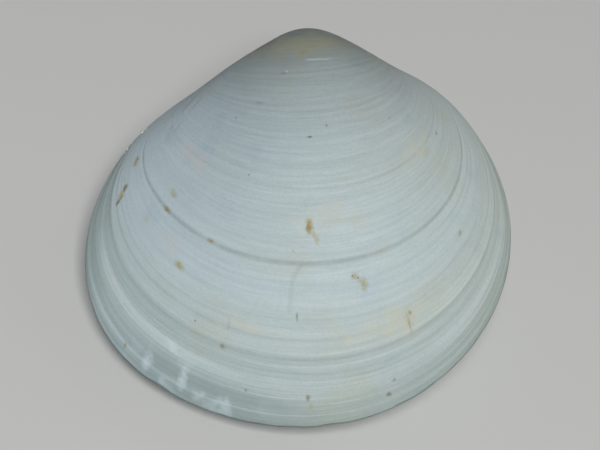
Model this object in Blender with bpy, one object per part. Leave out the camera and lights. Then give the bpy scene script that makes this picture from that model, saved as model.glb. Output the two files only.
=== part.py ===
"""A closed sea shell, Tellina remies, lying on its left valve.

The shell is two thin valves and the ligament behind their beaks. Each valve is drawn as it grew: its margin
starts tiny at the beak, gets larger, and turns about the hinge axis as it does. The script works in
millimetres along the shell's own axes: x runs along the hinge towards the front end, v runs from the hinge to
the belly edge, and w runs out of the plane where the valves meet. At the end the shell is tipped onto the
flat spot that it rests on, with +Z up and +Y towards the hinge.
"""

import math

import bmesh
import bpy
import numpy as np
from mathutils import Euler, Matrix, Vector
from mathutils.bvhtree import BVHTree

MM = 0.001

# The outline, as the diameter of the circle through the beak that it follows, at equal steps of bearing
# from the front of the hinge (0 degrees) past the belly edge (90) to the back of the hinge (180).
ADULT_SPANS = (75.0, 60.5, 59.5, 61.5, 64.0, 68.0, 76.0, 81.0, 88.0)
YOUNG_SPANS = (93.0, 76.0, 65.0, 60.0, 57.0, 58.0, 68.0, 94.0, 110.0)
HINGE_HEIGHT = 1.2
YOUNG_SIZE = 0.2
SHAPE_CHANGE = 3.0

# The beaks are broader than the rest of the shell's growth would make them.
BEAK_BREADTH = 0.14
BEAK_BREADTH_FADE = 0.4

# How far the margin turns about the hinge for each e-fold of growth, and the size at the tip of the beak.
TURN_PER_EFOLD = 0.8
BEAK_SIZE = 0.03

# The back end of the shell bends a little towards the right valve.
FLEXURE = 0.8
FLEXURE_START = 12.0
FLEXURE_LENGTH = 27.0

# The wall, and the gap that parts the two valves where they meet.
WALL = 1.8
MARGIN_WIDTH = 0.075
CAVITY_CENTRE = (-4.0, 33.0)
SEAM = 0.3

# The ligament behind the beaks.
LIGAMENT_START = 2.5
LIGAMENT_LENGTH = 10.0
LIGAMENT_WIDTH = 2.2
LIGAMENT_HEIGHT = 1.2
LIGAMENT_GAP = 0.35

# How the closed shell lies on its left valve, and how deep the flat spot is worn into it.
REST_TILT = 12.5
REST_ROLL = -9.0
REST_SPOT_DEPTH = 0.15

# How finely the surfaces are faceted.
SEGMENTS = 48
OUTER_RINGS = 30
CAVITY_RINGS = 12
LIGAMENT_STATIONS = 15
LIGAMENT_POINTS = 12


def natural_spline(values, positions):
    """Read a natural cubic spline through values at 0, 1, 2 ... at each of the positions."""
    values = np.asarray(values, float)
    last = len(values) - 1
    matrix = np.eye(len(values))
    bends = np.zeros(len(values))
    for i in range(1, last):
        matrix[i, i - 1:i + 2] = (1.0, 4.0, 1.0)
        bends[i] = 6.0 * (values[i - 1] - 2.0 * values[i] + values[i + 1])
    bends = np.linalg.solve(matrix, bends)
    left = np.clip(np.floor(positions).astype(int), 0, last - 1)
    t = positions - left
    s = 1.0 - t
    straight = s * values[left] + t * values[left + 1]
    return straight + ((s**3 - s) * bends[left] + (t**3 - t) * bends[left + 1]) / 6.0


def margin_ring(size):
    """Return the valve's margin, SEGMENTS points as (x, v, w), when the shell had this share of its size."""
    bearing = np.arange(SEGMENTS) / SEGMENTS * math.pi
    steps = bearing / math.pi * (len(ADULT_SPANS) - 1)
    grown = max((size - YOUNG_SIZE) / (1.0 - YOUNG_SIZE), 0.0) ** SHAPE_CHANGE
    adult = natural_spline(ADULT_SPANS, steps)
    young = natural_spline(YOUNG_SPANS, steps)
    reach = (grown * adult + (1.0 - grown) * young) * np.sin(bearing)
    turn = TURN_PER_EFOLD * math.log(1.0 / size)
    breadth = 1.0 + BEAK_BREADTH * math.exp(-((size / BEAK_BREADTH_FADE) ** 2))
    x = size * reach * np.cos(bearing) * breadth
    v = size * (HINGE_HEIGHT + reach * np.sin(bearing))
    return np.stack([x, v * math.cos(turn), v * math.sin(turn)], axis=1)


def flexed(points):
    """Bend the back end of the shell towards the right valve."""
    along = np.clip((-points[:, 0] - FLEXURE_START) / FLEXURE_LENGTH, 0.0, 1.0)
    bent = points.copy()
    bent[:, 2] += FLEXURE * along**2
    return bent


def skin_faces(rings, segments):
    """Return the quads between rings of points that follow one another in a vertex list."""
    faces = []
    for ring in range(rings - 1):
        for i in range(segments):
            j = (i + 1) % segments
            a = ring * segments
            faces.append((a + i, a + j, a + segments + j, a + segments + i))
    return faces


def outer_rings():
    """Return the outside of the valve, ring by ring from the margin to the beak."""
    sizes = np.geomspace(1.0, BEAK_SIZE, OUTER_RINGS)
    return [margin_ring(size) for size in sizes]


def cavity_rings(outside):
    """Return the inside of the valve, which follows the outside one wall thickness below it."""
    points = [Vector(point) for point in np.concatenate(outside)]
    tree = BVHTree.FromPolygons(points, skin_faces(len(outside), SEGMENTS))
    centre = np.array([CAVITY_CENTRE[0], CAVITY_CENTRE[1], 0.0])
    edge = outside[0]
    rings = []
    for share in np.linspace(1.0 - MARGIN_WIDTH, 0.04, CAVITY_RINGS):
        ring = centre + (edge - centre) * share
        for point in ring:
            hit = tree.ray_cast(Vector((point[0], point[1], 100.0)), Vector((0.0, 0.0, -1.0)))[0]
            point[2] = max(hit.z - WALL, 0.0)
        rings.append(ring)
    rings[0][:, 2] = 0.0
    return rings


def add_object(name, points, faces, material, parent):
    """Make a named object of points in millimetres, closed and facing outwards."""
    mesh = bpy.data.meshes.new(name)
    mesh.from_pydata([(x * MM, -v * MM, w * MM) for x, v, w in points], [], faces)
    mesh.materials.append(material)
    work = bmesh.new()
    work.from_mesh(mesh)
    bmesh.ops.recalc_face_normals(work, faces=work.faces)
    work.to_mesh(mesh)
    work.free()
    mesh.shade_smooth()
    thing = bpy.data.objects.new(name, mesh)
    thing.parent = parent
    bpy.context.scene.collection.objects.link(thing)
    return thing


def build_valve(name, side, material, parent):
    """Build one valve: side is 1 for the right valve and -1 for the left one."""
    outside = outer_rings()
    inside = cavity_rings(outside)
    points = np.concatenate([*reversed(outside), *inside])
    rings = len(outside) + len(inside)
    faces = skin_faces(rings, SEGMENTS)
    faces.append(tuple(range(SEGMENTS - 1, -1, -1)))
    faces.append(tuple(range((rings - 1) * SEGMENTS, rings * SEGMENTS)))
    points[:, 2] = side * (points[:, 2] + SEAM / 2.0)
    return add_object(name, flexed(points), faces, material, parent)


def build_ligament(valve, material, parent):
    """Build the ligament in the groove between the two valves, clear of both."""
    shape = [Vector(vertex.co) / MM for vertex in valve.data.vertices]
    tree = BVHTree.FromPolygons(shape, [tuple(face.vertices) for face in valve.data.polygons])
    half_width = LIGAMENT_WIDTH / 2.0
    rings = []
    for along in np.linspace(0.0, 1.0, LIGAMENT_STATIONS):
        x = -LIGAMENT_START - LIGAMENT_LENGTH * along
        floor = 1e9
        for w in np.linspace(SEAM, half_width + LIGAMENT_GAP, 8):
            start = Vector((x, 30.0, w))
            hit = tree.ray_cast(start, Vector((0.0, -1.0, 0.0)))[0]
            floor = min(floor, -hit.y)
        swell = 0.35 + 0.65 * math.sin(math.pi * (0.1 + 0.8 * along))
        ring = []
        for i in range(LIGAMENT_POINTS):
            angle = 2.0 * math.pi * i / LIGAMENT_POINTS
            rise = 0.5 + 0.5 * math.sin(angle)
            v = floor - LIGAMENT_GAP - LIGAMENT_HEIGHT * swell * rise
            ring.append((x, v, half_width * swell * math.cos(angle)))
        rings.append(ring)
    points = np.concatenate(rings)
    faces = skin_faces(LIGAMENT_STATIONS, LIGAMENT_POINTS)
    faces.append(tuple(range(LIGAMENT_POINTS - 1, -1, -1)))
    faces.append(tuple(range((LIGAMENT_STATIONS - 1) * LIGAMENT_POINTS, LIGAMENT_STATIONS * LIGAMENT_POINTS)))
    return add_object("ligament", points, faces, material, parent)


def wear_rest_spot(valve, pose):
    """Cut the small flat spot that the shell rests on, and return the height of its plane in the pose."""
    heights = [(pose @ vertex.co).z for vertex in valve.data.vertices]
    level = min(heights) + REST_SPOT_DEPTH * MM
    to_local = pose.inverted()
    work = bmesh.new()
    work.from_mesh(valve.data)
    cut = bmesh.ops.bisect_plane(
        work,
        geom=[*work.verts, *work.edges, *work.faces],
        plane_co=to_local @ Vector((0.0, 0.0, level)),
        plane_no=to_local @ Vector((0.0, 0.0, 1.0)),
        clear_inner=True,
    )
    rim = [item for item in cut["geom_cut"] if isinstance(item, bmesh.types.BMEdge)]
    bmesh.ops.contextual_create(work, geom=rim)
    bmesh.ops.recalc_face_normals(work, faces=work.faces)
    work.to_mesh(valve.data)
    work.free()
    return level


def make_material(name, colour, roughness):
    """Make a plain material of one colour."""
    material = bpy.data.materials.new(name)
    material.use_nodes = True
    shader = material.node_tree.nodes["Principled BSDF"]
    shader.inputs["Base Color"].default_value = (*colour, 1.0)
    shader.inputs["Roughness"].default_value = roughness
    shader.inputs["Metallic"].default_value = 0.0
    return material


def clear_scene():
    """Remove whatever the file starts with."""
    for thing in list(bpy.data.objects):
        bpy.data.objects.remove(thing, do_unlink=True)


def main():
    """Build the closed shell and tip it onto its rest spot."""
    clear_scene()
    shell_white = make_material("shell_white", (0.62, 0.66, 0.64), 0.45)
    ligament_brown = make_material("ligament_brown", (0.13, 0.07, 0.035), 0.6)

    rest = bpy.data.objects.new("shell_at_rest", None)
    bpy.context.scene.collection.objects.link(rest)
    right = build_valve("right_valve", 1.0, shell_white, rest)
    left = build_valve("left_valve", -1.0, shell_white, rest)
    ligament = build_ligament(right, ligament_brown, rest)

    pose = Euler((math.radians(REST_TILT), math.radians(REST_ROLL), 0.0)).to_matrix()
    level = wear_rest_spot(left, pose)
    corners = np.array([pose @ vertex.co for piece in (right, left, ligament) for vertex in piece.data.vertices])
    middle = (corners.min(axis=0) + corners.max(axis=0)) / 2.0
    rest.matrix_world = Matrix.Translation((-middle[0], -middle[1], -level)) @ pose.to_4x4()


main()
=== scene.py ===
"""Looks of a closed tellin shell: two chalky white valves with their growth rests, and the dry ligament.

Each valve is a sheet of growth lines wrapped round the beak. A point on it has a size, which is the share
of its full size that the shell had when the point was its edge, and a bearing, which runs from 0 degrees at
the front of the hinge past 90 at the belly edge to 180 at the back of the hinge. Relief and colour both
read these two numbers, so stains, cracks and growth rests lie where the shell carries them.
"""

from __future__ import annotations

import logging
import math
from dataclasses import dataclass, replace
from enum import Enum

import bpy
import numpy as np
from mathutils import Euler, Matrix, Vector
from mathutils.bvhtree import BVHTree


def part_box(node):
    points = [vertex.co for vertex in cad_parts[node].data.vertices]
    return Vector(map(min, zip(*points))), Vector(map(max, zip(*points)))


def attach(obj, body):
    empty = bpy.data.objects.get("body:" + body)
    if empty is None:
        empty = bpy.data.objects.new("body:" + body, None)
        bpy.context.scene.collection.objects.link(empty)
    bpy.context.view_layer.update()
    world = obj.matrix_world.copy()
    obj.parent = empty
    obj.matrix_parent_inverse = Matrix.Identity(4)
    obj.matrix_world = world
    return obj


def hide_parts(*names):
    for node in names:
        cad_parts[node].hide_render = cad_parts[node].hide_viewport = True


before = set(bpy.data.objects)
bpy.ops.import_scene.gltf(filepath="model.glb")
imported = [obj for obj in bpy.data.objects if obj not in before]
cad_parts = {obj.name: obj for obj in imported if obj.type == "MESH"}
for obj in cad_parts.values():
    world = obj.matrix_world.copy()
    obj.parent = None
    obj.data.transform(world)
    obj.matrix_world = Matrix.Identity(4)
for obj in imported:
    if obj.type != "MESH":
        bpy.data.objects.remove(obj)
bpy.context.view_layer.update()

LOG = logging.getLogger("tellin")

MM = 0.001
FULL_TURN = 2.0 * math.pi
HALF_TURN_DEG = 180.0
BODY = "root"

# The map that holds the growth coordinates: the bearing from 0 to 1, and the size.
UV_NAME = "growth"

# The size that the inside has on that map, past every band and stain.
INSIDE_SIZE = 1.2

# How many millimetres of a full-grown shell one unit of each growth coordinate covers.
AROUND_MM = 195.0
ALONG_MM = 80.0

# Between which shares of its radius a mark fades out.
MARK_EDGE = (0.15, 1.2)

Socket = bpy.types.NodeSocket
Screen = tuple[int, int, int]
Span = tuple[float, float]
Edges = tuple[tuple[float, ...], ...]
Place = tuple[float, float, float]


class Side(Enum):
    """Which valve a piece belongs to, as the sign of its distance from the plane where the valves meet."""

    RIGHT = 1
    LEFT = -1


class Blend(Enum):
    """How a tone is laid over the shell's colour."""

    COVER = "MIX"
    SHADE = "MULTIPLY"


class Tone(Enum):
    """The colours of what lies on the shell, as screen colours."""

    TAN = (172, 160, 108)
    OCHRE = (150, 132, 84)
    BROWN = (126, 118, 80)
    DARK = (92, 92, 72)
    CREAM = (208, 205, 180)
    ROSE = (204, 200, 198)
    OLIVE = (166, 164, 138)
    SLATE = (132, 146, 150)
    CHALK = (220, 236, 244)
    GROOVE = (112, 118, 106)
    CRACK = (120, 128, 126)


def linear(red: int, green: int, blue: int) -> tuple[float, float, float, float]:
    """Turn a screen colour of 0 to 255 a channel into the linear colour that a shader takes."""
    channels = [((value / 255.0 + 0.055) / 1.055) ** 2.4 for value in (red, green, blue)]
    return (channels[0], channels[1], channels[2], 1.0)


def smooth(low: float, high: float, value: np.ndarray, floor: float = 0.0) -> np.ndarray:
    """Return how far each value is on a smooth rise from the floor at low to 1 at high."""
    t = np.clip((value - low) / (high - low), 0.0, 1.0)
    return floor + (1.0 - floor) * t * t * (3.0 - 2.0 * t)


def natural_spline(values: tuple[float, ...], positions: np.ndarray) -> np.ndarray:
    """Read a natural cubic spline.

    Args:
        values: The values that it passes through at 0, 1, 2 and so on.
        positions: The places to read it at.

    Returns:
        The spline at each place.
    """
    knots = np.asarray(values, float)
    last = len(knots) - 1
    matrix = np.eye(len(knots))
    bends = np.zeros(len(knots))
    for i in range(1, last):
        matrix[i, i - 1:i + 2] = (1.0, 4.0, 1.0)
        bends[i] = 6.0 * (knots[i - 1] - 2.0 * knots[i] + knots[i + 1])
    bends = np.linalg.solve(matrix, bends)
    left = np.clip(np.floor(positions).astype(int), 0, last - 1)
    t = positions - left
    s = 1.0 - t
    straight = s * knots[left] + t * knots[left + 1]
    return straight + ((s**3 - s) * bends[left] + (t**3 - t) * bends[left + 1]) / 6.0


@dataclass(frozen=True)
class GrowthLaw:
    """How the shell grows: its margin gets larger and turns about the hinge, in millimetres.

    The spans are the diameters of the circle through the beak that the outline follows, at equal steps of
    bearing. Points are given as x along the hinge, v from the hinge to the belly edge, and w out of the
    plane where the valves meet.
    """

    adult_spans: tuple[float, ...] = (75.0, 60.5, 59.5, 61.5, 64.0, 68.0, 76.0, 81.0, 88.0)
    young_spans: tuple[float, ...] = (93.0, 76.0, 65.0, 60.0, 57.0, 58.0, 68.0, 94.0, 110.0)
    hinge_height: float = 1.2
    young_size: float = 0.2
    shape_change: float = 3.0
    beak_breadth: float = 0.14
    beak_breadth_fade: float = 0.4
    turn_per_efold: float = 0.8
    beak_size: float = 0.03
    flexure: float = 0.8
    flexure_start: float = 12.0
    flexure_length: float = 27.0
    frame_seam: float = 0.3

    def surface(self, size: np.ndarray, bearing: np.ndarray) -> np.ndarray:
        """Give points of a valve's outside before it is bent, mirrored or placed.

        Args:
            size: Shares of the full size, as a column.
            bearing: Bearings in radians, as a row.

        Returns:
            The points, one row for each size and one column for each bearing.
        """
        steps = bearing / math.pi * (len(self.adult_spans) - 1)
        adult, young = natural_spline(self.adult_spans, steps), natural_spline(self.young_spans, steps)
        grown = np.clip((size - self.young_size) / (1.0 - self.young_size), 0.0, 1.0) ** self.shape_change
        reach = (grown * adult + (1.0 - grown) * young) * np.sin(bearing)
        turn = self.turn_per_efold * np.log(1.0 / size)
        breadth = 1.0 + self.beak_breadth * np.exp(-((size / self.beak_breadth_fade) ** 2))
        x = size * reach * np.cos(bearing) * breadth
        v = size * (self.hinge_height + reach * np.sin(bearing))
        return np.stack([x, v * np.cos(turn), v * np.sin(turn)], axis=-1)

    def closed_up(self, points: np.ndarray, side: Side, seam: float) -> np.ndarray:
        """Put a valve's points on their side of the seam and bend the back end.

        Args:
            points: Points of a valve that grows towards +w.
            side: The valve.
            seam: The gap between the two valves.

        Returns:
            The points of the closed shell.
        """
        closed = points.copy()
        along = np.clip((-points[..., 0] - self.flexure_start) / self.flexure_length, 0.0, 1.0)
        closed[..., 2] = side.value * (points[..., 2] + seam / 2.0) + self.flexure * along**2
        return closed


@dataclass(frozen=True)
class RestPose:
    """How the closed shell lies on its left valve, read from where the frame holds the right one."""

    law: GrowthLaw
    tilt_deg: float = 12.5
    roll_deg: float = -9.0
    box_rows: int = 120
    box_columns: int = 181

    def turned(self, points: np.ndarray) -> np.ndarray:
        """Turn points in millimetres to the world's axes in metres, with the beak still at the origin."""
        turn = Euler((math.radians(self.tilt_deg), math.radians(self.roll_deg), 0.0)).to_matrix()
        return points * np.array([MM, -MM, MM]) @ np.array(turn).T

    def offset(self) -> np.ndarray:
        """Find where the frame puts the beak, from the box of its right valve.

        Returns:
            The beak's place in metres.
        """
        sizes = np.linspace(1.0, self.law.beak_size, self.box_rows)[:, None]
        bearings = np.linspace(0.0, math.pi, self.box_columns)[None, :]
        valve = self.law.closed_up(self.law.surface(sizes, bearings), Side.RIGHT, self.law.frame_seam)
        points = self.turned(valve).reshape(-1, 3)
        low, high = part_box("right_valve")
        own_middle = (points.min(axis=0) + points.max(axis=0)) / 2.0
        return (np.array(low) + np.array(high)) / 2.0 - own_middle

    def placed(self, points: np.ndarray) -> np.ndarray:
        """Turn and move points in millimetres to their place in the frame, in metres."""
        return self.turned(points) + self.offset()


@dataclass(frozen=True)
class GrowthRest:
    """A line where the shell stopped growing for a while: a groove, with the new shell set in below it.

    The size says where it is. The depth and width of the groove and the depth of the step are in
    millimetres, and dirt is how strongly dirt colours the groove.
    """

    size: float
    depth: float
    width: float = 0.3
    step: float = 0.0
    dirt: float = 0.0


@dataclass(frozen=True)
class Relief:
    """The relief of a valve's outside, in millimetres above its smooth shape.

    Threads, swells and dents are sums of waves, each as high as the named share of its own length.
    """

    rests: tuple[GrowthRest, ...]
    seed: int
    lean_stops: tuple[Span, ...] = (
        (0.0, 0.0), (0.6, 0.0), (0.735, 0.009), (0.86, 0.0), (0.9, -0.005), (0.96, -0.016), (1.0, 0.0))
    lean_spread_deg: float = 35.0
    waver_turns: tuple[float, ...] = (2.0, 3.0, 5.0, 8.0, 13.0)
    waver_drift: float = 9.0
    waver_size: float = 0.0011
    straight_edge: float = 0.06
    deep_rest: float = 0.06
    patchiness: float = 0.45
    patch_turns: Span = (2.0, 5.0)
    lips: tuple[Place, ...] = ((-2.2, 1.4, 1.0), (2.4, 1.6, 0.7))
    lip_height: float = 0.12
    ledge_rise: Span = (-0.25, 0.35)
    ledge_length: float = 1.3
    rest_fade: Span = (0.4, 0.75)
    thread_count: int = 30
    thread_waves: Span = (0.5, 1.7)
    thread_drift: float = 2.5
    thread_share: float = 0.0027273
    thread_stops: tuple[Span, ...] = (
        (0.0, 0.3), (0.3, 0.9), (0.5, 1.0), (0.62, 0.55), (0.72, 0.4), (0.8, 0.4), (0.86, 0.9), (1.0, 1.2))
    side_threads: float = 0.35
    side_threads_end: Span = (0.55, 0.95)
    swell_waves: tuple[float, ...] = (1.9, 2.7, 3.8, 5.5)
    swell_share: float = 0.00625
    young_swells: float = 0.12
    young_swells_end: Span = (0.8, 0.93)
    dent_count: int = 14
    dent_waves: Span = (7.0, 22.0)
    dent_share: float = 0.0012238
    hinge_fade: Span = (0.0, 0.45)
    beak_fade: Span = (0.03, 0.2)
    dent_hinge_fade: Span = (0.0, 0.5)
    dent_beak_fade: Span = (0.05, 0.3)
    margin_fade: float = 0.012

    def age(self, size: np.ndarray, bearing: np.ndarray) -> np.ndarray:
        """Give the size at which a growth line through each point reaches the belly edge.

        Growth lines aren't quite level: they lean, and they waver a little.

        Args:
            size: Shares of the full size, as a column.
            bearing: Bearings in radians, as a row.

        Returns:
            The leaned and wavering size.
        """
        draw = np.random.default_rng(self.seed)
        places, leans = zip(*self.lean_stops)
        across = (bearing - math.pi / 2.0) / math.radians(self.lean_spread_deg)
        lean = np.interp(size, places, leans) * np.tanh(across) / 2.0
        waver = np.zeros(np.broadcast_shapes(size.shape, bearing.shape))
        for turns in self.waver_turns:
            phase, drift = draw.uniform(0.0, FULL_TURN), draw.uniform(-self.waver_drift, self.waver_drift)
            waver = waver + np.sin(turns * bearing + phase + drift * size) / turns
        return size - (lean - self.waver_size * waver) * smooth(0.0, self.straight_edge, 1.0 - size)

    def rest_lines(self, age: np.ndarray, bearing: np.ndarray) -> np.ndarray:
        """Give the grooves, lips and steps at the growth rests. Only the deep ones run on without a break.

        Args:
            age: What age() gives.
            bearing: Bearings in radians, as a row.

        Returns:
            The height at each point.
        """
        draw = np.random.default_rng(self.seed + 1)
        height = np.zeros_like(age)
        for rest in self.rests:
            phase, turns = draw.uniform(0.0, FULL_TURN), draw.uniform(*self.patch_turns)
            patchy = 1.0 - self.patchiness + self.patchiness * np.sin(turns * bearing + phase)
            past = (age - rest.size) * ALONG_MM
            groove = -np.exp(-((past / rest.width) ** 2))
            for middle, breadth, share in self.lips:
                lip = np.exp(-(((past / rest.width - middle) / breadth) ** 2))
                groove = groove + self.lip_height * share * lip
            fallen = smooth(*self.ledge_rise, past) * np.exp(-np.clip(past, 0.0, None) / self.ledge_length)
            height = height + rest.depth * groove * (1.0 if rest.depth > self.deep_rest else patchy)
            height = height - rest.step * fallen
        return height * smooth(*self.rest_fade, np.sin(bearing))

    def threads(self, age: np.ndarray, bearing: np.ndarray) -> np.ndarray:
        """Give the fine threads and the broad swells that run with the growth lines.

        Args:
            age: What age() gives.
            bearing: Bearings in radians, as a row.

        Returns:
            The height at each point.
        """
        draw = np.random.default_rng(self.seed + 2)
        places, strengths = zip(*self.thread_stops)
        along = FULL_TURN * ALONG_MM * age
        height = np.zeros_like(age)
        for _ in range(self.thread_count):
            wave = draw.uniform(*self.thread_waves)
            phase, drift = draw.uniform(0.0, FULL_TURN), draw.uniform(-self.thread_drift, self.thread_drift)
            height = height + np.sin(along / wave + phase + drift * bearing) * wave
        height = height * self.thread_share * np.interp(age, places, strengths)
        height = height * smooth(*self.side_threads_end, np.sin(bearing), self.side_threads)
        swell = np.zeros_like(age)
        for wave in self.swell_waves:
            swell = swell + np.sin(along / wave + draw.uniform(0.0, FULL_TURN)) * wave
        return height + swell * self.swell_share * smooth(*self.young_swells_end, age, self.young_swells)

    def dents(self, points: np.ndarray) -> np.ndarray:
        """Give the shallow unevenness of the whole surface.

        Args:
            points: The smooth points as x, v, w.

        Returns:
            The height at each point.
        """
        draw = np.random.default_rng(self.seed + 3)
        height = np.zeros(points.shape[:-1])
        for _ in range(self.dent_count):
            wave = draw.uniform(*self.dent_waves)
            heading = draw.normal(size=3)
            heading = heading / np.linalg.norm(heading) * FULL_TURN / wave
            height = height + np.sin(points @ heading + draw.uniform(0.0, FULL_TURN)) * wave
        return height * self.dent_share

    def height(self, size: np.ndarray, bearing: np.ndarray, points: np.ndarray) -> np.ndarray:
        """Give the whole relief, which fades out at the margin, the hinge and the beak.

        Args:
            size: Shares of the full size, as a column.
            bearing: Bearings in radians, as a row.
            points: The smooth points as x, v, w.

        Returns:
            The height at each point.
        """
        age = self.age(size, bearing)
        level = np.sin(bearing)
        lines = self.rest_lines(age, bearing) + self.threads(age, bearing)
        lines = lines * smooth(*self.hinge_fade, level) * smooth(*self.beak_fade, size)
        dents = self.dents(points) * smooth(*self.dent_hinge_fade, level)
        dents = dents * smooth(*self.dent_beak_fade, size)
        return (lines + dents) * smooth(0.0, self.margin_fade, 1.0 - size)


@dataclass(frozen=True)
class Grain:
    """A noise in the solid shell: its scale a metre, its detail and its roughness."""

    scale: float
    detail: float = 3.0
    rough: float = 0.6


@dataclass(frozen=True)
class Streaks:
    """A noise on the growth coordinates, stretched by its scales around the shell and along its growth."""

    around: float
    along: float
    detail: float = 3.0
    rough: float = 0.6
    shift: float = 0.0


class NodeSketch:
    """A material, and a short hand for wiring its nodes."""

    def __init__(self, name: str) -> None:
        """Make the material.

        Args:
            name: Its name.
        """
        self.material = bpy.data.materials.new(name)
        self.material.use_nodes = True
        self.tree = self.material.node_tree
        self.shader = self.tree.nodes["Principled BSDF"]

    def feed(self, inputs: bpy.types.NodeInputs, sources: dict[int | str, object]) -> None:
        """Link inputs to sockets, or set their values.

        Args:
            inputs: A node's inputs.
            sources: The socket, number, vector or colour for each named or numbered input.
        """
        for key, source in sources.items():
            if isinstance(source, Socket):
                self.tree.links.new(source, inputs[key])
            else:
                inputs[key].default_value = source

    def add(self, kind: str, sources: dict[int | str, object], **settings: object) -> bpy.types.Node:
        """Add a node.

        Args:
            kind: The node's type name.
            sources: What its inputs take.
            **settings: The node's own settings.

        Returns:
            The node.
        """
        node = self.tree.nodes.new(kind)
        for name, value in settings.items():
            setattr(node, name, value)
        self.feed(node.inputs, sources)
        return node

    def dress(self, sources: dict[str, object]) -> None:
        """Link or set the shader's own inputs."""
        self.feed(self.shader.inputs, sources)

    def solid(self) -> Socket:
        """Return the place in the solid piece."""
        return self.add("ShaderNodeTexCoord", {}).outputs["Object"]

    def math(self, operation: str, first: object, second: object = 0.0) -> Socket:
        """Return what a Math node makes of two numbers or sockets."""
        return self.add("ShaderNodeMath", {0: first, 1: second}, operation=operation).outputs[0]

    def vector(self, operation: str, first: Socket, second: object) -> Socket:
        """Return what a Vector Math node makes of two vectors or sockets."""
        return self.add("ShaderNodeVectorMath", {0: first, 1: second}, operation=operation).outputs[0]

    def between(self, value: Socket, low: float, high: float, start: float = 0.0,
                end: float = 1.0) -> Socket:
        """Map the range from low to high onto the one from start to end, smoothly and clamped."""
        sources = dict(enumerate((value, low, high, start, end)))
        return self.add("ShaderNodeMapRange", sources, interpolation_type="SMOOTHSTEP").outputs[0]

    def noise(self, vector: Socket, grain: Grain) -> bpy.types.Node:
        """Add a noise, whose outputs lie around 0.5."""
        sources = {"Vector": vector, "Scale": grain.scale, "Detail": grain.detail, "Roughness": grain.rough}
        return self.add("ShaderNodeTexNoise", sources)

    def stretched(self, vector: Socket, scale: Place, shift: float = 0.0) -> Socket:
        """Scale each of the coordinates that a noise reads, and shift them all."""
        sources = {"Vector": vector, "Location": (shift,) * 3, "Scale": scale}
        return self.add("ShaderNodeMapping", sources).outputs[0]

    def mix(self, factor: object, base: Socket, top: object, blend: Blend = Blend.COVER) -> Socket:
        """Lay the top colour over the base, as strongly as the factor says."""
        sources = {0: factor, 6: base, 7: top}
        return self.add("ShaderNodeMix", sources, data_type="RGBA", blend_type=blend.value).outputs[2]

    def ramp(self, value: Socket, stops: tuple[tuple[float, Screen], ...]) -> Socket:
        """Read a colour ramp.

        Args:
            value: Where to read it.
            stops: Places with screen colours.

        Returns:
            The colour's socket.
        """
        node = self.add("ShaderNodeValToRGB", {0: value})
        elements = node.color_ramp.elements
        while len(elements) < len(stops):
            elements.new(0.5)
        for element, (place, colour) in zip(elements, stops):
            element.position = place
            element.color = linear(*colour)
        return node.outputs[0]

    def bump(self, height: Socket, strength: float, distance: float) -> None:
        """Roughen the surface by a height, which reaches the distance in metres."""
        node = self.add("ShaderNodeBump", {"Height": height, "Strength": strength, "Distance": distance})
        self.dress({"Normal": node.outputs[0]})


class ShellSketch(NodeSketch):
    """The nodes of a valve's material, which read its growth coordinates."""

    def __init__(self, name: str, shift: float) -> None:
        """Make the material and read the coordinates.

        Args:
            name: The material's name.
            shift: How far into the noises on the growth coordinates this valve starts.
        """
        super().__init__(name)
        self.shift = shift
        self.body = self.solid()
        self.places = self.add("ShaderNodeUVMap", {}, uv_map=UV_NAME).outputs[0]
        parts = self.add("ShaderNodeSeparateXYZ", {0: self.places})
        self.around, self.along = parts.outputs[0], parts.outputs[1]
        self.known: dict[Grain | Streaks, Socket] = {}

    def read(self, noise: Grain | Streaks) -> Socket:
        """Read a noise on the shell, with one node for each noise.

        Args:
            noise: The noise.

        Returns:
            Its socket, around 0.5.
        """
        if noise not in self.known:
            vector, grain = self.body, noise
            if isinstance(noise, Streaks):
                vector = self.stretched(self.places, (noise.around, noise.along, 1.0),
                                        self.shift + noise.shift)
                grain = Grain(1.0, noise.detail, noise.rough)
            self.known[noise] = self.noise(vector, grain).outputs[0]
        return self.known[noise]

    def frayed(self, grain: Grain, reach: float) -> Socket:
        """Return the vector that moves the edges of marks, as far as a share of their radius."""
        centred = self.vector("SUBTRACT", self.noise(self.body, grain).outputs["Color"], (0.5,) * 3)
        return self.vector("MULTIPLY", centred, (reach,) * 3)

    def product(self, readings: list[tuple[Socket, tuple[float, ...]]], strength: object) -> object:
        """Multiply a strength by several smooth ranges.

        Args:
            readings: What is read, each with the numbers that between() takes.
            strength: The strength to start from, a number or a socket.

        Returns:
            The product.
        """
        mask = strength
        for value, edge in readings:
            mask = self.math("MULTIPLY", self.between(value, *edge), mask)
        return mask


@dataclass(frozen=True)
class Layer:
    """A tone laid over a stretch of the shell.

    Each edge is a pair of places, bearings from 0 to 1 or sizes, between which the layer sets in. A third
    and fourth number say how strong it is at the two places. The reading says the same of a noise.
    """

    colour: Screen
    strength: float = 1.0
    around: Edges = ()
    along: Edges = ()
    noise: Grain | Streaks | None = None
    reading: tuple[float, ...] = ()
    blend: Blend = Blend.SHADE

    def laid(self, sketch: ShellSketch, colour: Socket) -> Socket:
        """Lay the layer over the shell.

        Args:
            sketch: The material's nodes.
            colour: The colour so far.

        Returns:
            The new colour's socket.
        """
        readings = [(sketch.around, edge) for edge in self.around]
        readings += [(sketch.along, edge) for edge in self.along]
        if self.noise is not None:
            readings.append((sketch.read(self.noise), self.reading))
        mask = sketch.product(readings, self.strength)
        return sketch.mix(mask, colour, linear(*self.colour), self.blend)


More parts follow.
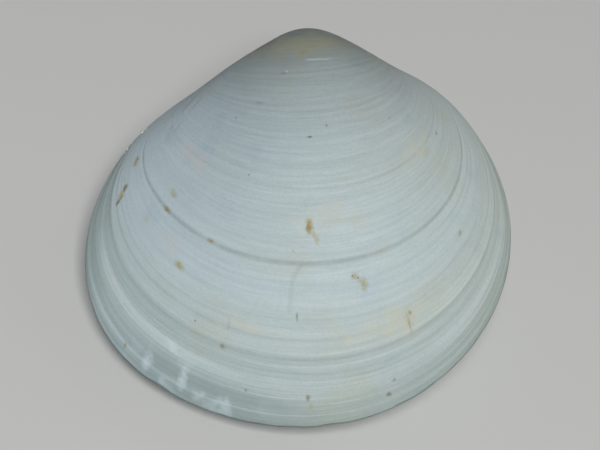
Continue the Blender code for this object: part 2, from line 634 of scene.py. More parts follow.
@dataclass(frozen=True)
class Mark:
    """A stain or speck: its place as size and bearing, and its length along the growth and width in mm."""

    size: float
    bearing: float
    length: float
    width: float
    tone: Tone
    strength: float

    def laid(self, sketch: ShellSketch, colour: Socket, frayed: Socket) -> Socket:
        """Lay the mark over the shell.

        Args:
            sketch: The material's nodes.
            colour: The colour so far.
            frayed: The vector that frays its edge.

        Returns:
            The new colour's socket.
        """
        centre = (self.bearing / HALF_TURN_DEG, self.size, 0.0)
        per_radius = (2.0 * AROUND_MM * self.size / self.width, 2.0 * ALONG_MM / self.length, 0.0)
        out = sketch.vector("MULTIPLY", sketch.vector("SUBTRACT", sketch.places, centre), per_radius)
        out = sketch.vector("ADD", out, frayed)
        length = sketch.add("ShaderNodeVectorMath", {0: out}, operation="LENGTH")
        mask = sketch.between(length.outputs["Value"], *MARK_EDGE, self.strength, 0.0)
        return sketch.mix(mask, colour, linear(*self.tone.value))


@dataclass(frozen=True)
class Scratch:
    """A fine crack that runs with the shell's growth: its ends as size and bearing, and its width in mm."""

    start: Span
    end: Span
    width: float
    strength: float
    fade: float = 0.004

    def laid(self, sketch: ShellSketch, colour: Socket) -> Socket:
        """Draw the crack on the shell.

        Args:
            sketch: The material's nodes.
            colour: The colour so far.

        Returns:
            The new colour's socket.
        """
        (first, first_bearing), (last, last_bearing) = self.start, self.end
        slope = (last_bearing - first_bearing) / HALF_TURN_DEG / (last - first)
        past = sketch.math("MULTIPLY", sketch.math("SUBTRACT", sketch.along, first), slope)
        middle = sketch.math("ADD", past, first_bearing / HALF_TURN_DEG)
        off = sketch.math("ABSOLUTE", sketch.math("SUBTRACT", sketch.around, middle))
        width = self.width / (AROUND_MM * (first + last) / 2.0)
        readings = [
            (off, (0.0, width, self.strength, 0.0)),
            (sketch.along, (first - self.fade, first + self.fade)),
            (sketch.along, (last + self.fade, last - self.fade)),
        ]
        return sketch.mix(sketch.product(readings, 1.0), colour, linear(*Tone.CRACK.value))


@dataclass(frozen=True)
class ShellFinish:
    """The chalky finish of one valve's outside, with its bands, stains and specks."""

    name: str
    rests: tuple[GrowthRest, ...]
    marks: tuple[Mark, ...]
    scratches: tuple[Scratch, ...]
    shift: float
    # The tone darkens towards the beak: partly the beak's own grey-brown colour, partly painted shade where
    # the beak turns away from the light. The dip at 0.905 is painted shade in the hollow below the deep
    # growth rest, and the darker margin is its thin greyish edge.
    tones: tuple[tuple[float, Screen], ...] = (
        (0.0, (150, 156, 150)), (0.2, (152, 158, 152)), (0.3, (172, 182, 182)), (0.38, (184, 195, 197)),
        (0.5, (198, 210, 213)), (0.6, (205, 217, 219)), (0.8, (209, 222, 225)), (0.89, (206, 217, 216)),
        (0.905, (198, 210, 209)), (0.945, (203, 214, 213)), (0.971, (185, 197, 195)),
        (0.99, (179, 191, 189)))
    dirt_ends: Edges = ((0.12, 0.24), (0.9, 0.84))
    dirt_spread: float = 1.5
    dirt_patches: Streaks = Streaks(16.0, 3.0, 3.0, 0.7)
    dirt_reading: tuple[float, ...] = (0.3, 0.6, 0.35, 1.0)
    broad_from: float = 2.5
    speck_grain: Grain = Grain(1500.0, 3.0, 0.5)
    speck_fray: float = 1.3
    patch_grain: Grain = Grain(420.0, 3.0, 0.5)
    patch_fray: float = 2.6
    gloss_grain: Grain = Grain(420.0, 4.0)
    roughness: tuple[float, ...] = (0.3, 0.7, 0.5, 0.68)
    striae: Streaks = Streaks(14.0, 480.0, 5.0, 0.7)
    pits: Grain = Grain(1700.0)
    pit_share: float = 0.5
    bump_strength: float = 0.35
    bump_distance: float = 0.00006

    def dirty_rests(self, sketch: ShellSketch, colour: Socket) -> Socket:
        """Darken the grooves of the growth rests, where dirt has settled.

        Args:
            sketch: The material's nodes.
            colour: The colour so far.

        Returns:
            The new colour's socket.
        """
        ends = sketch.product([(sketch.around, edge) for edge in self.dirt_ends], 1.0)
        for number, rest in enumerate(self.rests):
            if rest.dirt <= 0.0:
                continue
            off = sketch.math("ABSOLUTE", sketch.math("SUBTRACT", sketch.along, rest.size))
            patches = sketch.read(replace(self.dirt_patches, shift=float(number)))
            readings = [
                (off, (0.0, rest.width * self.dirt_spread / ALONG_MM, rest.dirt, 0.0)),
                (patches, self.dirt_reading),
            ]
            colour = sketch.mix(sketch.product(readings, ends), colour, linear(*Tone.GROOVE.value))
        return colour

    def material(self) -> bpy.types.Material:
        """Build the material.

        Returns:
            The finished material.
        """
        sketch = ShellSketch(self.name, self.shift)
        colour = sketch.ramp(sketch.along, self.tones)
        for layer in SHELL_LAYERS:
            colour = layer.laid(sketch, colour)
        colour = self.dirty_rests(sketch, colour)
        for scratch in self.scratches:
            colour = scratch.laid(sketch, colour)
        specks = sketch.frayed(self.speck_grain, self.speck_fray)
        patches = sketch.frayed(self.patch_grain, self.patch_fray)
        for mark in self.marks:
            colour = mark.laid(sketch, colour, patches if mark.width > self.broad_from else specks)
        sketch.dress({
            "Base Color": colour,
            "Roughness": sketch.between(sketch.read(self.gloss_grain), *self.roughness),
            "Specular IOR Level": 0.25,
            "Subsurface Weight": 0.06,
            "Subsurface Radius": (0.0012, 0.001, 0.0008),
            "Subsurface Scale": 1.0,
        })
        pitted = sketch.math("MULTIPLY", sketch.read(self.pits), self.pit_share)
        bumpy = sketch.math("ADD", sketch.read(self.striae), pitted)
        sketch.bump(bumpy, self.bump_strength, self.bump_distance)
        return sketch.material


@dataclass(frozen=True)
class LigamentFinish:
    """The dry, fibrous, dark brown finish of the ligament."""

    name: str = "dry_ligament"
    fibre_scale: Place = (350.0, 2600.0, 2600.0)
    fibres: Grain = Grain(1.0, 5.0, 0.65)
    tones: tuple[tuple[float, Screen], ...] = (
        (0.3, (44, 28, 16)), (0.5, (84, 54, 30)), (0.7, (132, 94, 56)))
    cracks: Grain = Grain(900.0)
    crack_reading: tuple[float, ...] = (0.6, 0.7, 0.0, 0.6)
    crack_tone: Screen = (30, 20, 12)
    roughness: tuple[float, ...] = (0.3, 0.7, 0.42, 0.7)
    bump_strength: float = 0.6
    bump_distance: float = 0.0002

    def material(self) -> bpy.types.Material:
        """Build the material.

        Returns:
            The finished material.
        """
        sketch = NodeSketch(self.name)
        solid = sketch.solid()
        fibres = sketch.noise(sketch.stretched(solid, self.fibre_scale), self.fibres).outputs[0]
        cracks = sketch.between(sketch.noise(solid, self.cracks).outputs[0], *self.crack_reading)
        sketch.dress({
            "Base Color": sketch.mix(cracks, sketch.ramp(fibres, self.tones), linear(*self.crack_tone)),
            "Roughness": sketch.between(fibres, *self.roughness),
        })
        sketch.bump(fibres, self.bump_strength, self.bump_distance)
        return sketch.material


@dataclass(frozen=True)
class GritFinish:
    """The chalky, sandy finish of the grit behind the hinge."""

    name: str = "chalky_grit"
    grains: Grain = Grain(6000.0)
    tones: tuple[tuple[float, Screen], ...] = (
        (0.35, (150, 142, 120)), (0.5, (214, 216, 208)), (0.65, (236, 240, 238)))
    roughness: tuple[float, ...] = (0.3, 0.7, 0.6, 0.8)

    def material(self) -> bpy.types.Material:
        """Build the material.

        Returns:
            The finished material.
        """
        sketch = NodeSketch(self.name)
        grains = sketch.noise(sketch.solid(), self.grains).outputs[0]
        sketch.dress({
            "Base Color": sketch.ramp(grains, self.tones),
            "Roughness": sketch.between(grains, *self.roughness),
        })
        return sketch.material


def deselect_all() -> None:
    """Leave nothing selected, so that an operator acts only on the piece at hand."""
    bpy.ops.object.select_all(action="DESELECT")


@dataclass
class Valve:
    """One valve: a grid of growth lines wrapped round the beak, over the margin and into the cavity."""

    side: Side
    law: GrowthLaw
    pose: RestPose
    relief: Relief
    finish: ShellFinish
    segments: int = 250
    fine_rows: int = 292
    beak_rows: int = 50
    fine_from: float = 0.3
    wall: float = 1.8
    seam: float = 0.12
    chip_depth: float = 0.004
    chip_from: float = 0.985
    chip_least: float = 0.35
    chip_turns: tuple[float, ...] = (17.0, 29.0, 43.0, 71.0)
    cavity_rows: int = 12
    cavity_shares: Span = (0.925, 0.03)
    cavity_centre: Place = (-4.0, 33.0, 0.0)
    cavity_skip: tuple[int, int] = (6, 5)
    above_all: float = 100.0
    weld_gap: float = 0.0000005

    @property
    def node(self) -> str:
        """Return the frame's node that the valve stands for."""
        return f"{self.side.name.lower()}_valve"

    def growth_lines(self, bearings: np.ndarray) -> np.ndarray:
        """Give the sizes of the outside's growth lines, from the beak to the margin's worn and uneven edge.

        Args:
            bearings: Bearings in radians, as a row.

        Returns:
            The size at each point.
        """
        beak = np.geomspace(self.law.beak_size, self.fine_from, self.beak_rows, endpoint=False)
        sizes = np.concatenate([beak, np.linspace(self.fine_from, 1.0, self.fine_rows)])[:, None]
        draw = np.random.default_rng(self.relief.seed + 4)
        wear = np.zeros_like(bearings)
        for turns in self.chip_turns:
            wear = wear + np.sin(turns * bearings + draw.uniform(0.0, FULL_TURN)) / len(self.chip_turns)
        chips = self.chip_least + (1.0 - self.chip_least) * np.clip(wear, 0.0, 1.0)
        return sizes * (1.0 - self.chip_depth * smooth(self.chip_from, 1.0, sizes) * chips)

    def outside(self, sizes: np.ndarray, bearings: np.ndarray) -> np.ndarray:
        """Give the outside's points with their relief.

        Args:
            sizes: The size at each point.
            bearings: Bearings in radians, as a row.

        Returns:
            The points as x, v, w.
        """
        points = self.law.surface(sizes, bearings)
        normals = np.cross(np.gradient(points, axis=1), np.gradient(points, axis=0))
        normals = normals / np.maximum(np.linalg.norm(normals, axis=-1, keepdims=True), 1e-9)
        middle = normals[len(normals) // 2, normals.shape[1] // 2]
        outward = 1.0 if middle[2] > 0.0 else -1.0
        points = points + outward * normals * self.relief.height(sizes, bearings, points)[..., None]
        points[:, -1] = points[:, 0]
        points[-1, :, 2] = 0.0
        return points

    def cavity(self, outside: np.ndarray) -> np.ndarray:
        """Give the inside's points, which follow the outside one wall thickness below it.

        Args:
            outside: The outside's points.

        Returns:
            The points as x, v, w, from the margin inwards.
        """
        coarse = outside[::self.cavity_skip[0], ::self.cavity_skip[1]]
        rows, columns = coarse.shape[:2]
        corners = [row * columns + column for row in range(rows - 1) for column in range(columns - 1)]
        faces = [(corner, corner + 1, corner + columns + 1, corner + columns) for corner in corners]
        tree = BVHTree.FromPolygons([Vector(point) for point in coarse.reshape(-1, 3)], faces)
        centre = np.array(self.cavity_centre)
        edge = outside[-1] * np.array([1.0, 1.0, 0.0])
        rings = []
        for share in np.linspace(*self.cavity_shares, self.cavity_rows):
            ring = centre + (edge - centre) * share
            for point in ring:
                start = Vector((point[0], point[1], self.above_all))
                hit = tree.ray_cast(start, Vector((0.0, 0.0, -1.0)))[0]
                point[2] = max(hit.z - self.wall, 0.0) if hit else 0.0
            rings.append(ring)
        rings[0][:, 2] = 0.0
        return np.array(rings)

    def map_growth(self, mesh: bpy.types.Mesh, ages: np.ndarray) -> None:
        """Write the growth coordinates into the mesh's map.

        Args:
            mesh: The valve's mesh, still a grid.
            ages: The size at each point of the grid.
        """
        corners = np.empty(len(mesh.loops), dtype=int)
        mesh.loops.foreach_get("vertex_index", corners)
        across = corners % (self.segments + 1) / self.segments
        growth = np.stack([across, ages.reshape(-1)[corners]], axis=1)
        mesh.uv_layers[0].name = UV_NAME
        mesh.uv_layers[0].data.foreach_set("uv", growth.reshape(-1))

    def close_up(self, mesh: bpy.types.Mesh) -> None:
        """Close the grid at the beak and inside, and join its two sides at the hinge.

        Args:
            mesh: The valve's mesh, still a grid, whose points are numbered row by row.
        """
        row = self.segments + 1
        bpy.ops.object.mode_set(mode="EDIT")
        bpy.ops.mesh.select_mode(type="VERT")
        for end in (slice(-row, None), slice(0, row)):
            bpy.ops.mesh.select_all(action="DESELECT")
            bpy.ops.object.mode_set(mode="OBJECT")
            chosen = np.zeros(len(mesh.vertices), dtype=bool)
            chosen[end] = True
            mesh.vertices.foreach_set("select", chosen)
            bpy.ops.object.mode_set(mode="EDIT")
            bpy.ops.mesh.merge(type="CENTER")
        bpy.ops.mesh.select_all(action="SELECT")
        bpy.ops.mesh.remove_doubles(threshold=self.weld_gap)
        bpy.ops.mesh.normals_make_consistent(inside=False)
        bpy.ops.object.mode_set(mode="OBJECT")

    def build(self) -> bpy.types.Object:
        """Build the valve.

        Returns:
            The finished piece.
        """
        bearings = np.linspace(0.0, math.pi, self.segments + 1)[None, :]
        sizes = self.growth_lines(bearings)
        outside = self.outside(sizes, bearings)
        inside = self.cavity(outside)
        points = np.concatenate([outside, inside])
        world = self.pose.placed(self.law.closed_up(points, self.side, self.seam))
        world[..., 2] = np.maximum(world[..., 2], 0.0)
        ages = np.minimum(self.relief.age(sizes, bearings), 1.0)
        ages = np.concatenate([ages, np.full(inside.shape[:2], INSIDE_SIZE)])

        deselect_all()
        bpy.ops.mesh.primitive_grid_add(x_subdivisions=self.segments, y_subdivisions=len(points) - 1)
        piece = bpy.context.active_object
        piece.name = f"{self.node}_shell"
        mesh = piece.data
        mesh.vertices.foreach_set("co", world.reshape(-1))
        self.map_growth(mesh, ages)
        mesh.update()
        self.close_up(mesh)
        mesh.materials.append(self.finish.material())
        bpy.ops.object.shade_smooth()
        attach(piece, BODY)
        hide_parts(self.node)
        return piece


@dataclass
class Ligament:
    """The dry ligament behind the beaks, swollen a little so that it meets both valves."""

    finish: LigamentFinish
    node: str = "ligament"
    weld_gap: float = 0.000001
    swelling: float = 0.00022
    levels: int = 3
    fibre_count: int = 10
    fibre_waves: Place = (500.0, 4500.0, 4500.0)
    fibre_depth: float = 0.00001667
    seed: int = 31

    def swollen(self) -> bpy.types.Object:
        """Copy the frame's own solid, swell it and round it.

        Returns:
            The smooth ligament.
        """
        deselect_all()
        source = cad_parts[self.node]
        piece = bpy.data.objects.new("dry_ligament", source.data.copy())
        bpy.context.scene.collection.objects.link(piece)
        piece.select_set(True)
        bpy.context.view_layer.objects.active = piece
        piece.data.materials.clear()
        bpy.ops.object.mode_set(mode="EDIT")
        bpy.ops.mesh.select_all(action="SELECT")
        bpy.ops.mesh.remove_doubles(threshold=self.weld_gap)
        bpy.ops.mesh.tris_convert_to_quads()
        bpy.ops.transform.shrink_fatten(value=self.swelling)
        bpy.ops.object.mode_set(mode="OBJECT")
        rounded = piece.modifiers.new("rounded", "SUBSURF")
        rounded.levels = rounded.render_levels = self.levels
        bpy.ops.object.modifier_apply(modifier=rounded.name)
        return piece

    def rough_up(self, mesh: bpy.types.Mesh) -> None:
        """Raise the fibres on the ligament.

        Args:
            mesh: The smooth ligament's mesh.
        """
        draw = np.random.default_rng(self.seed)
        flat = {name: np.empty(len(mesh.vertices) * 3) for name in ("co", "normal")}
        for name, numbers in flat.items():
            mesh.vertices.foreach_get(name, numbers)
        points, normals = flat["co"].reshape(-1, 3), flat["normal"].reshape(-1, 3)
        height = np.zeros(len(points))
        for _ in range(self.fibre_count):
            heading = draw.normal(size=3) * np.array(self.fibre_waves)
            height = height + np.sin(points @ heading + draw.uniform(0.0, FULL_TURN))
        points = points + normals * (height * self.fibre_depth)[:, None]
        mesh.vertices.foreach_set("co", points.reshape(-1))
        mesh.update()

    def build(self) -> bpy.types.Object:
        """Build the ligament.

        Returns:
            The finished piece.
        """
        piece = self.swollen()
        self.rough_up(piece.data)
        piece.data.materials.append(self.finish.material())
        bpy.ops.object.shade_smooth()
        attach(piece, BODY)
        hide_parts(self.node)
        return piece


@dataclass
class HingeGrit:
    """The grit that clings to the margin behind the hinge: each speck's size, bearing and radius in mm."""

    law: GrowthLaw
    pose: RestPose
    finish: GritFinish
    specks: tuple[Place, ...] = (
        (0.940, 158.2, 0.36), (0.925, 157.8, 0.27), (0.955, 158.2, 0.24), (0.910, 158.2, 0.17),
        (0.975, 156.6, 0.15), (0.982, 155.6, 0.23), (0.978, 155.0, 0.16))
    lumps: Span = (0.875, 1.05)
    roundness: int = 3
    seed: int = 5

    def build(self) -> bpy.types.Object:
        """Build the specks as one piece.

        Returns:
            The finished piece.
        """
        deselect_all()
        draw = np.random.default_rng(self.seed)
        parts = []
        for size, bearing, radius in self.specks:
            point = self.law.surface(np.array([[size]]), np.array([[math.radians(bearing)]]))
            place = self.pose.placed(self.law.closed_up(point, Side.RIGHT, self.law.frame_seam))[0, 0]
            bpy.ops.mesh.primitive_ico_sphere_add(subdivisions=self.roundness, radius=radius * MM,
                                                  location=place)
            speck = bpy.context.active_object
            for vertex in speck.data.vertices:
                vertex.co *= draw.uniform(*self.lumps)
            parts.append(speck)
        for speck in parts:
            speck.select_set(True)
        bpy.context.view_layer.objects.active = parts[0]
        bpy.ops.object.join()
        piece = bpy.context.active_object
        piece.name = "hinge_grit"
        bpy.ops.object.transform_apply(location=True, rotation=True, scale=True)
        piece.data.materials.append(self.finish.material())
        bpy.ops.object.shade_smooth()
        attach(piece, BODY)
        return piece


@dataclass(frozen=True)
class Lamp:
    """A soft square light that faces the shell: its place and width in metres, and its power in watts."""

    name: str
    place: Place
    width: float
    power: float
    colour: Place

    def hang(self) -> None:
        """Hang the light."""
        light = bpy.data.lights.new(self.name, "AREA")
        light.shape = "SQUARE"
        light.size = self.width
        light.energy = self.power
        light.color = self.colour
        lamp = bpy.data.objects.new(self.name, light)
        lamp.location = self.place
        lamp.rotation_euler = (-Vector(self.place)).to_track_quat("-Z", "Y").to_euler()
        bpy.context.scene.collection.objects.link(lamp)


@dataclass
class Studio:
    """The pale floor, the soft light and the camera, which looks from the belly side as the photo does."""

    pose: RestPose
    floor_size: float = 6.0
    floor_tone: Screen = (214, 214, 212)
    lamps: tuple[Lamp, ...] = (
        Lamp("key_light", (-0.06, -0.53, 0.86), 0.34, 6.9, (1.0, 1.0, 1.0)),
        Lamp("side_light", (0.75, 0.35, 0.55), 0.5, 0.4, (1.0, 0.97, 0.92)),
    )
    sky_colour: tuple[float, float, float, float] = (0.94, 0.98, 1.0, 1.0)
    sky_strength: float = 0.13
    view_tilt_deg: float = 25.5
    view_roll_deg: float = -6.36
    distance: float = 0.34
    sensor_width: float = 36.0
    lens: float = 129.9
    shift: Span = (-0.0405, -0.0083)
    look_at: Place = (0.0, 33.0, 5.15)
    clip: Span = (0.01, 20.0)

    def floor(self) -> None:
        """Lay the floor."""
        deselect_all()
        bpy.ops.mesh.primitive_plane_add(size=self.floor_size)
        plane = bpy.context.active_object
        plane.name = "studio_floor"
        sketch = NodeSketch("pale_floor")
        sketch.dress({"Base Color": linear(*self.floor_tone), "Roughness": 0.9, "Specular IOR Level": 0.1})
        plane.data.materials.append(sketch.material)

    def lights(self) -> None:
        """Hang the lights and set the sky."""
        for lamp in self.lamps:
            lamp.hang()
        world = bpy.data.worlds.new("soft_sky")
        world.use_nodes = True
        background = world.node_tree.nodes["Background"]
        background.inputs["Color"].default_value = self.sky_colour
        background.inputs["Strength"].default_value = self.sky_strength
        bpy.context.scene.world = world
        bpy.context.scene.view_settings.view_transform = "Standard"

    def camera(self) -> None:
        """Set the camera at the photo's angle to the shell."""
        tilt, roll = math.radians(self.view_tilt_deg), math.radians(self.view_roll_deg)
        down = np.array([math.sin(roll), math.cos(roll), 0.0])
        out = np.array([0.0, 0.0, 1.0])
        own_axes = (
            np.array([math.cos(roll), -math.sin(roll), 0.0]),
            out * math.sin(tilt) - down * math.cos(tilt),
            out * math.cos(tilt) + down * math.sin(tilt),
        )
        axes = [self.pose.turned(axis[None, :])[0] / MM for axis in own_axes]
        target = self.pose.placed(np.array([self.look_at]))[0]
        data = bpy.data.cameras.new("photo_camera")
        data.sensor_width = self.sensor_width
        data.lens = self.lens
        data.shift_x, data.shift_y = self.shift
        data.clip_start, data.clip_end = self.clip
        camera = bpy.data.objects.new("photo_camera", data)
        columns = Matrix(axes).transposed().to_4x4()
        columns.translation = Vector(target + axes[2] * self.distance)
        camera.matrix_world = columns
        bpy.context.scene.collection.objects.link(camera)
        bpy.context.scene.camera = camera

    def build(self) -> None:
        """Set up the floor, the lights and the camera."""
        self.floor()
        self.lights()
        self.camera()


# Where the margin's last growth is thin and worn, and where the ends of the shell face away.
WORN_STRETCH = ((0.5378, 0.6078), (0.7078, 0.6478))
OPEN_SIDE = ((0.1, 0.36, 0.4, 1.0), (0.86, 0.6, 0.4, 1.0))
OUTER_STREAKS = Streaks(2.4, 150.0, 4.0, 0.8, 9.0)
CLOUDS = Grain(95.0, 5.0)

SHELL_LAYERS = (
    # The back tinted cooler and darker and the front warmer: painted shade on the back and painted warm
    # light on the front, on the side the light falls from; then a faint warm cream band across the front.
    Layer((230, 238, 249), 0.55, around=((0.5, 0.85),)),
    Layer((253, 249, 240), 0.55, around=((0.52, 0.3),)),
    Layer((252, 247, 234), 0.2, around=((0.62, 0.38),), along=((0.8, 0.87), (0.905, 0.885))),
    # The hollow band, painted shade in the hollow below the deep growth rest near size 0.9; the chalky band
    # below it, partly its own chalky white and partly painted light on the rim above the rest near 0.957;
    # and the dull margin.
    Layer((226, 231, 228), 0.5, around=((0.45, 0.72, 0.25, 1.0),), along=((0.896, 0.903), (0.935, 0.915))),
    Layer((232, 242, 246), 0.3, around=((0.54, 0.66), (0.79, 0.73)), along=((0.922, 0.936), (0.957, 0.948)),
          blend=Blend.COVER),
    Layer((232, 242, 243), 0.3, around=((0.44, 0.38),), along=((0.922, 0.936), (0.957, 0.948)),
          blend=Blend.COVER),
    Layer((226, 229, 226), 0.8, around=((0.5, 0.58), (0.7, 0.65)), along=((0.95, 0.967),)),
    Layer((230, 232, 228), 0.75, around=((0.72, 0.78),), along=((0.952, 0.966),)),
    Layer((232, 232, 230), 0.7, around=((0.75, 0.8),), along=((0.888, 0.902), (0.965, 0.95))),
    # Painted light on the front, on the rim above the deep growth rest near size 0.9.
    Layer((226, 236, 233), 0.35, around=((0.46, 0.38),), along=((0.85, 0.875), (0.902, 0.894)),
          blend=Blend.COVER),
    # Dark and light streaks in the outer growth.
    Layer((218, 224, 222), along=((0.86, 0.9),), around=((0.82, 0.72),), noise=OUTER_STREAKS,
          reading=(0.5, 0.3, 0.0, 0.6)),
    Layer((230, 242, 247), along=((0.86, 0.9),), around=((0.82, 0.72),), noise=OUTER_STREAKS,
          reading=(0.52, 0.7, 0.0, 0.4), blend=Blend.COVER),
    # Creamy and bluish clouds.
    Layer((252, 244, 226), noise=CLOUDS, reading=(0.5, 0.72, 0.0, 0.4)),
    Layer((232, 240, 248), noise=CLOUDS, reading=(0.46, 0.28, 0.0, 0.5)),
    # Bands, hair lines and grain.
    Layer((228, 234, 235), around=OPEN_SIDE, noise=Streaks(5.0, 95.0, 6.0, 0.75),
          reading=(0.36, 0.66, 0.55, 0.0)),
    Layer((226, 232, 231), around=OPEN_SIDE, noise=Streaks(28.0, 620.0, 4.0, 0.7),
          reading=(0.3, 0.7, 0.4, 0.0)),
    Layer((228, 232, 232), noise=Grain(2600.0, 2.0), reading=(0.3, 0.7, 0.3, 0.0)),
    # The worn stretch of the margin with its chalky flecks, and the streaks on the back slope.
    Layer((152, 172, 178), around=WORN_STRETCH, along=((0.93, 0.975),), noise=Streaks(22.0, 26.0, 4.0),
          reading=(0.4, 0.6, 0.1, 0.42), blend=Blend.COVER),
    Layer(Tone.CHALK.value, around=WORN_STRETCH, along=((0.93, 0.975),),
          noise=Streaks(34.0, 22.0, shift=4.0), reading=(0.52, 0.66, 0.0, 0.28), blend=Blend.COVER),
    Layer((104, 118, 120), around=((0.76, 0.81),), along=((0.68, 0.6),), noise=Streaks(150.0, 9.0),
          reading=(0.52, 0.64, 0.0, 0.32), blend=Blend.COVER),
)

# The growth rests of each valve, as size, depth, width, step and dirt.
RIGHT_RESTS = tuple(GrowthRest(*row) for row in (
    (0.985, 0.024, 0.22), (0.957, 0.03, 0.34, 0.02, 0.03), (0.931, 0.04, 0.25, 0.0, 0.064),
    (0.921, 0.032, 0.22, 0.0, 0.048), (0.898, 0.08, 0.40, 0.09, 0.13), (0.867, 0.06, 0.32, 0.03, 0.13),
    (0.847, 0.048, 0.24, 0.0, 0.096), (0.834, 0.032, 0.22, 0.0, 0.064), (0.812, 0.016, 0.22, 0.0, 0.024),
    (0.774, 0.016, 0.22, 0.0, 0.024), (0.758, 0.016, 0.22, 0.0, 0.024), (0.7345, 0.13, 0.38, 0.04, 0.34),
    (0.698, 0.016, 0.24, 0.0, 0.04), (0.681, 0.016, 0.24, 0.0, 0.04), (0.657, 0.032, 0.26, 0.0, 0.08),
    (0.623, 0.016, 0.24, 0.0, 0.032), (0.610, 0.016, 0.24, 0.0, 0.032), (0.591, 0.055, 0.3, 0.02, 0.14),
    (0.567, 0.024, 0.24, 0.0, 0.048), (0.553, 0.024, 0.24, 0.0, 0.048), (0.535, 0.024, 0.24, 0.0, 0.064),
    (0.516, 0.016, 0.24, 0.0, 0.032), (0.486, 0.04, 0.28, 0.0, 0.096), (0.472, 0.024, 0.24, 0.0, 0.048),
    (0.457, 0.04, 0.28, 0.0, 0.096), (0.440, 0.024, 0.26, 0.0, 0.064), (0.423, 0.04, 0.28, 0.0, 0.096),
    (0.408, 0.04, 0.28, 0.0, 0.096), (0.390, 0.016, 0.26, 0.0, 0.048), (0.376, 0.016, 0.26, 0.0, 0.048),
    (0.348, 0.048, 0.34, 0.03, 0.11), (0.322, 0.024, 0.30, 0.0, 0.064), (0.285, 0.024, 0.30, 0.0, 0.048),
    (0.24, 0.024, 0.30, 0.0, 0.048), (0.19, 0.024, 0.30, 0.0, 0.048),
))

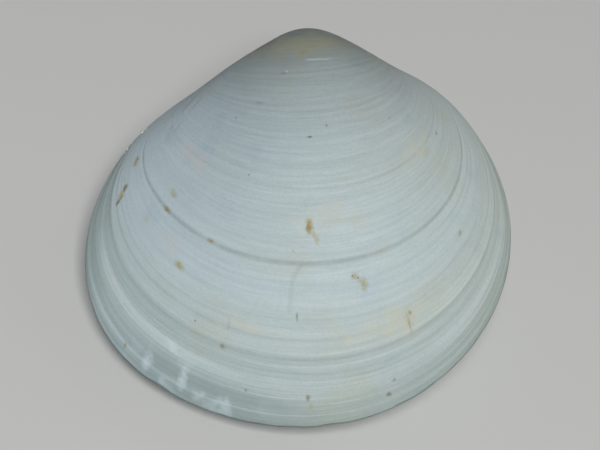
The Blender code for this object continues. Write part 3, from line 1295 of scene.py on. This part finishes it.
# The marks, as size, bearing, length, width, tone and strength.
RIGHT_MARKS = tuple(Mark(*row) for row in (
    (0.583, 61.0, 4.5, 9.0, Tone.CREAM, 0.4), (0.606, 58.0, 2.5, 3.0, Tone.TAN, 0.2),
    (0.868, 81.0, 5.4, 17.0, Tone.CREAM, 0.4), (0.868, 77.8, 3.6, 2.4, Tone.TAN, 0.22),
    (0.853, 105.0, 2.6, 10.0, Tone.CREAM, 0.35), (0.65, 90.0, 6.0, 12.0, Tone.CREAM, 0.25),
    (0.593, 129.0, 4.0, 10.0, Tone.ROSE, 0.5), (0.79, 124.0, 4.5, 6.0, Tone.ROSE, 0.4),
    (0.225, 99.0, 9.0, 19.0, Tone.OLIVE, 0.55), (0.25, 84.0, 6.0, 10.0, Tone.OLIVE, 0.45),
    (0.26, 92.0, 1.4, 2.2, Tone.OCHRE, 0.22), (0.24, 86.0, 0.8, 2.4, Tone.OCHRE, 0.2),
    (0.665, 94.1, 2.9, 1.6, Tone.TAN, 0.95), (0.668, 94.3, 2.3, 0.9, Tone.OCHRE, 0.6),
    (0.681, 93.2, 1.4, 1.0, Tone.TAN, 0.5), (0.691, 92.6, 2.0, 1.2, Tone.TAN, 0.45),
    (0.776, 85.0, 1.4, 1.2, Tone.TAN, 0.4), (0.785, 84.3, 2.6, 1.3, Tone.TAN, 0.7),
    (0.767, 85.8, 1.2, 1.6, Tone.TAN, 0.65), (0.765, 86.3, 0.4, 0.35, Tone.DARK, 0.85),
    (0.771, 85.3, 0.35, 0.35, Tone.DARK, 0.7), (0.824, 143.6, 2.2, 1.4, Tone.BROWN, 0.9),
    (0.842, 143.0, 3.4, 1.7, Tone.TAN, 0.75), (0.845, 142.4, 2.2, 0.8, Tone.OCHRE, 0.7),
    (0.861, 142.3, 1.9, 1.2, Tone.DARK, 0.75), (0.772, 147.0, 3.0, 2.5, Tone.TAN, 0.85),
    (0.764, 147.3, 0.9, 0.8, Tone.DARK, 0.6), (0.733, 115.9, 0.9, 1.8, Tone.OCHRE, 0.75),
    (0.735, 129.5, 1.3, 2.3, Tone.OCHRE, 0.8), (0.809, 121.0, 1.5, 2.4, Tone.TAN, 0.8),
    (0.698, 129.9, 1.7, 2.4, Tone.TAN, 0.55), (0.790, 133.0, 2.6, 2.2, Tone.TAN, 0.2),
    (0.901, 109.2, 0.9, 1.1, Tone.BROWN, 0.6), (0.828, 97.0, 1.6, 0.45, Tone.BROWN, 0.6),
    (0.862, 77.3, 0.8, 0.7, Tone.BROWN, 0.6), (0.879, 77.9, 1.4, 0.6, Tone.TAN, 0.6),
    (0.957, 95.4, 0.9, 0.9, Tone.BROWN, 0.75), (0.97, 95.0, 1.2, 0.8, Tone.TAN, 0.4),
    (0.956, 82.5, 0.5, 0.9, Tone.BROWN, 0.6), (0.976, 83.6, 0.8, 1.1, Tone.BROWN, 0.75),
    (0.610, 50.4, 0.9, 0.9, Tone.SLATE, 0.65), (0.482, 92.4, 0.45, 1.1, Tone.DARK, 0.75),
    (0.460, 86.7, 0.6, 0.5, Tone.BROWN, 0.65), (0.578, 110.1, 0.5, 0.5, Tone.BROWN, 0.6),
    (0.712, 97.8, 0.6, 0.35, Tone.SLATE, 0.5), (0.880, 114.7, 0.45, 0.45, Tone.DARK, 0.6),
    (0.957, 104.5, 0.45, 0.6, Tone.BROWN, 0.6), (0.484, 64.9, 0.5, 0.6, Tone.BROWN, 0.6),
    (0.457, 119.4, 0.5, 0.5, Tone.BROWN, 0.6), (0.984, 124.4, 0.7, 0.7, Tone.OCHRE, 0.6),
    (0.807, 61.5, 1.0, 1.4, Tone.OCHRE, 0.65), (0.323, 102.1, 0.9, 1.6, Tone.SLATE, 0.6),
    (0.318, 100.5, 0.5, 0.6, Tone.CHALK, 0.5), (0.406, 111.1, 0.9, 1.8, Tone.SLATE, 0.45),
    (0.287, 87.0, 0.5, 2.8, Tone.CHALK, 0.45), (0.289, 81.0, 0.5, 3.2, Tone.CHALK, 0.45),
    (0.979, 120.2, 2.4, 2.0, Tone.CHALK, 0.42), (0.972, 114.1, 3.2, 1.8, Tone.CHALK, 0.42),
    (0.941, 117.1, 2.0, 3.6, Tone.CHALK, 0.4), (0.982, 107.1, 1.6, 2.0, Tone.CHALK, 0.32),
    (0.995, 150.0, 0.5, 1.2, Tone.BROWN, 0.7), (0.985, 153.0, 0.6, 0.8, Tone.BROWN, 0.6),
))

RIGHT_SCRATCHES = (
    Scratch((0.734, 96.0), (0.765, 97.9), 0.75, 0.18),
    Scratch((0.765, 97.9), (0.822, 98.3), 0.7, 0.13),
    Scratch((0.852, 108.8), (0.872, 108.8), 0.4, 0.18),
    Scratch((0.860, 77.9), (0.897, 77.9), 0.3, 0.3),
)

LEFT_RESTS = tuple(GrowthRest(*row) for row in (
    (0.980, 0.024, 0.22), (0.955, 0.03, 0.34, 0.02, 0.03), (0.927, 0.04, 0.25, 0.0, 0.064),
    (0.899, 0.08, 0.40, 0.09, 0.13), (0.866, 0.04, 0.28, 0.03, 0.096), (0.842, 0.04, 0.24, 0.0, 0.08),
    (0.801, 0.024, 0.22, 0.0, 0.04), (0.768, 0.016, 0.22, 0.0, 0.032), (0.734, 0.13, 0.38, 0.04, 0.34),
    (0.694, 0.016, 0.24, 0.0, 0.04), (0.655, 0.032, 0.26, 0.0, 0.08), (0.612, 0.024, 0.24, 0.0, 0.048),
    (0.590, 0.055, 0.3, 0.02, 0.14), (0.548, 0.024, 0.24, 0.0, 0.048), (0.520, 0.024, 0.24, 0.0, 0.048),
    (0.487, 0.04, 0.28, 0.0, 0.096), (0.455, 0.04, 0.28, 0.0, 0.096), (0.420, 0.04, 0.28, 0.0, 0.096),
    (0.385, 0.024, 0.26, 0.0, 0.064), (0.347, 0.048, 0.34, 0.03, 0.11), (0.30, 0.024, 0.30, 0.0, 0.064),
    (0.24, 0.024, 0.30, 0.0, 0.048), (0.19, 0.024, 0.30, 0.0, 0.048),
))

LEFT_MARKS = tuple(Mark(*row) for row in (
    (0.55, 75.0, 5.0, 9.0, Tone.CREAM, 0.3), (0.84, 104.0, 4.0, 12.0, Tone.CREAM, 0.35),
    (0.72, 60.0, 5.0, 8.0, Tone.CREAM, 0.25), (0.23, 90.0, 5.0, 8.0, Tone.TAN, 0.4),
    (0.74, 88.0, 1.8, 1.2, Tone.TAN, 0.7), (0.81, 66.0, 1.2, 0.8, Tone.OCHRE, 0.6),
    (0.66, 118.0, 1.6, 1.0, Tone.TAN, 0.6), (0.88, 132.0, 2.0, 0.9, Tone.BROWN, 0.6),
    (0.52, 98.0, 0.5, 0.9, Tone.DARK, 0.6), (0.93, 80.0, 0.8, 0.9, Tone.BROWN, 0.6),
    (0.60, 52.0, 0.7, 0.7, Tone.SLATE, 0.6), (0.90, 98.0, 0.6, 0.7, Tone.BROWN, 0.6),
))

LEFT_SCRATCHES = (
    Scratch((0.82, 84.0), (0.87, 83.0), 0.36, 0.25),
)


def main() -> None:
    """Build the two valves, the ligament, the grit and the studio."""
    logging.basicConfig(level=logging.INFO, format="%(name)s: %(message)s")
    law = GrowthLaw()
    pose = RestPose(law)
    sub_assemblies = (
        Valve(Side.RIGHT, law, pose, Relief(RIGHT_RESTS, seed=11),
              ShellFinish("right_valve_shell", RIGHT_RESTS, RIGHT_MARKS, RIGHT_SCRATCHES, shift=3.0)),
        Valve(Side.LEFT, law, pose, Relief(LEFT_RESTS, seed=47),
              ShellFinish("left_valve_shell", LEFT_RESTS, LEFT_MARKS, LEFT_SCRATCHES, shift=17.0)),
        Ligament(LigamentFinish()),
        HingeGrit(law, pose, GritFinish()),
    )
    for sub_assembly in sub_assemblies:
        piece = sub_assembly.build()
        LOG.info("%s: %d faces", piece.name, len(piece.data.polygons))
    Studio(pose).build()


if __name__ == "__main__":
    main()
